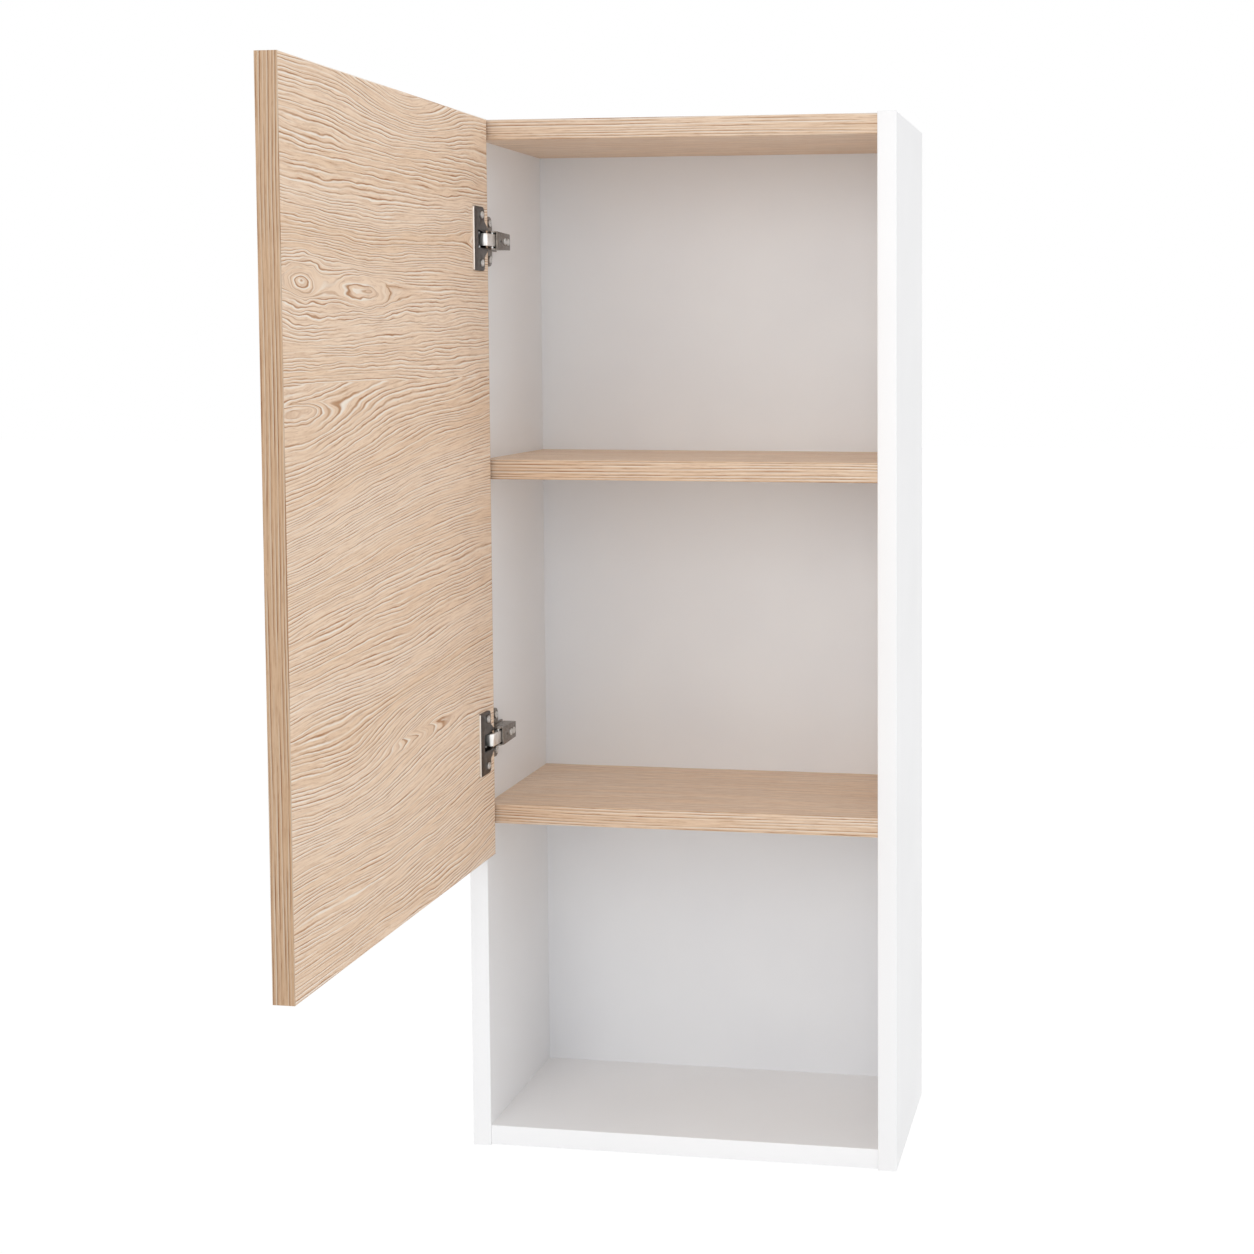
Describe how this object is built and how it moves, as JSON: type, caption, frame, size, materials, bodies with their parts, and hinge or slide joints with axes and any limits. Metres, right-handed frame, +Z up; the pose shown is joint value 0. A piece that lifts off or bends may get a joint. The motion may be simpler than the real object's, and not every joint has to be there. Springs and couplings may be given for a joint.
{
  "type": "hanging wall cabinet",
  "caption": "Narrow white wall cabinet with oak shelves and an oak door on concealed cup hinges, above an open niche.",
  "frame": {"origin": "on the wall plane, midway between the two keyholes, at the height of the wall screws", "axes": "+X to the right seen from the front, +Y towards the wall, +Z up"},
  "size_m": [0.42, 0.6015, 1],
  "materials": {
    "white_board": "satin white laminate on particle board",
    "white_back": "matt white laminate",
    "oak_board": "matt oak veneer, grain across the cabinet's width",
    "dowel_wood": "bare beech",
    "nickel": "nickel plated steel",
    "bright_nickel": "bright nickel plate",
    "steel": "bright zinc plated steel"
  },
  "bodies": {
    "carcass": {"left_side": "white_board", "right_side": "white_board", "top_panel": "oak_board", "middle_shelf": "oak_board", "lower_shelf": "oak_board", "bottom_panel": "white_board", "back_panel": "white_back", "top_panel_dowel_left_front": "dowel_wood", "top_panel_dowel_left_rear": "dowel_wood", "top_panel_dowel_right_front": "dowel_wood", "top_panel_dowel_right_rear": "dowel_wood", "middle_shelf_dowel_left_front": "dowel_wood", "middle_shelf_dowel_left_rear": "dowel_wood", "middle_shelf_dowel_right_front": "dowel_wood", "middle_shelf_dowel_right_rear": "dowel_wood", "lower_shelf_dowel_left_front": "dowel_wood", "lower_shelf_dowel_left_rear": "dowel_wood", "lower_shelf_dowel_right_front": "dowel_wood", "lower_shelf_dowel_right_rear": "dowel_wood", "bottom_panel_dowel_left_front": "dowel_wood", "bottom_panel_dowel_left_rear": "dowel_wood", "bottom_panel_dowel_right_front": "dowel_wood", "bottom_panel_dowel_right_rear": "dowel_wood", "left_hanger_plate": "steel", "left_hanger_screw_outer": "steel", "left_hanger_screw_inner": "steel", "right_hanger_plate": "steel", "right_hanger_screw_outer": "steel", "right_hanger_screw_inner": "steel", "upper_hinge_arm": "nickel", "upper_mounting_plate": "nickel", "upper_closing_spring": "steel", "upper_arm_front_pin": "steel", "upper_arm_rear_pin": "steel", "upper_adjusting_screw": "steel", "upper_fixing_screw": "steel", "upper_plate_screw_high": "steel", "upper_plate_screw_low": "steel", "lower_hinge_arm": "nickel", "lower_mounting_plate": "nickel", "lower_closing_spring": "steel", "lower_arm_front_pin": "steel", "lower_arm_rear_pin": "steel", "lower_adjusting_screw": "steel", "lower_fixing_screw": "steel", "lower_plate_screw_high": "steel", "lower_plate_screw_low": "steel"},
    "upper_outer_link": {"upper_outer_link": "bright_nickel"},
    "door": {"door_panel": "oak_board", "upper_hinge_cup": "nickel", "upper_cup_pin": "steel", "upper_cup_screw_high": "steel", "upper_cup_screw_low": "steel", "lower_hinge_cup": "nickel", "lower_cup_pin": "steel", "lower_cup_screw_high": "steel", "lower_cup_screw_low": "steel"},
    "lower_outer_link": {"lower_outer_link": "bright_nickel"},
    "upper_inner_link": {"upper_inner_link": "steel"},
    "lower_inner_link": {"lower_inner_link": "steel"}
  },
  "joints": [
    {"name": "upper_outer_link_turn", "type": "hinge", "parent": "carcass", "child": "upper_outer_link", "pos_m": [-0.181, -0.178, -0.1081], "axis": [0, 0, 1], "range_deg": [-37.04, 2.07]},
    {"name": "door_swing", "type": "hinge", "parent": "upper_outer_link", "child": "door", "pos_m": [-0.18704, -0.19652, -0.1081], "axis": [0, 0, 1], "range_deg": [-7.06, 127.03]},
    {"name": "lower_outer_link_turn", "type": "hinge", "parent": "carcass", "child": "lower_outer_link", "pos_m": [-0.181, -0.178, -0.5863], "axis": [0, 0, 1], "range_deg": [-37.04, 2.07]},
    {"name": "upper_inner_link_turn", "type": "hinge", "parent": "carcass", "child": "upper_inner_link", "pos_m": [-0.186, -0.166, -0.1081], "axis": [0, 0, 1], "range_deg": [-18.1, 1.1]},
    {"name": "lower_inner_link_turn", "type": "hinge", "parent": "carcass", "child": "lower_inner_link", "pos_m": [-0.186, -0.166, -0.5863], "axis": [0, 0, 1], "range_deg": [-18.1, 1.1]}
  ],
  "couplings": [
    {"joint": "upper_outer_link_turn", "follows": "door_swing", "ratio": -0.29153},
    {"joint": "lower_outer_link_turn", "follows": "door_swing", "ratio": -0.29153},
    {"joint": "upper_inner_link_turn", "follows": "door_swing", "ratio": -0.14169},
    {"joint": "lower_inner_link_turn", "follows": "door_swing", "ratio": -0.14169}
  ]
}
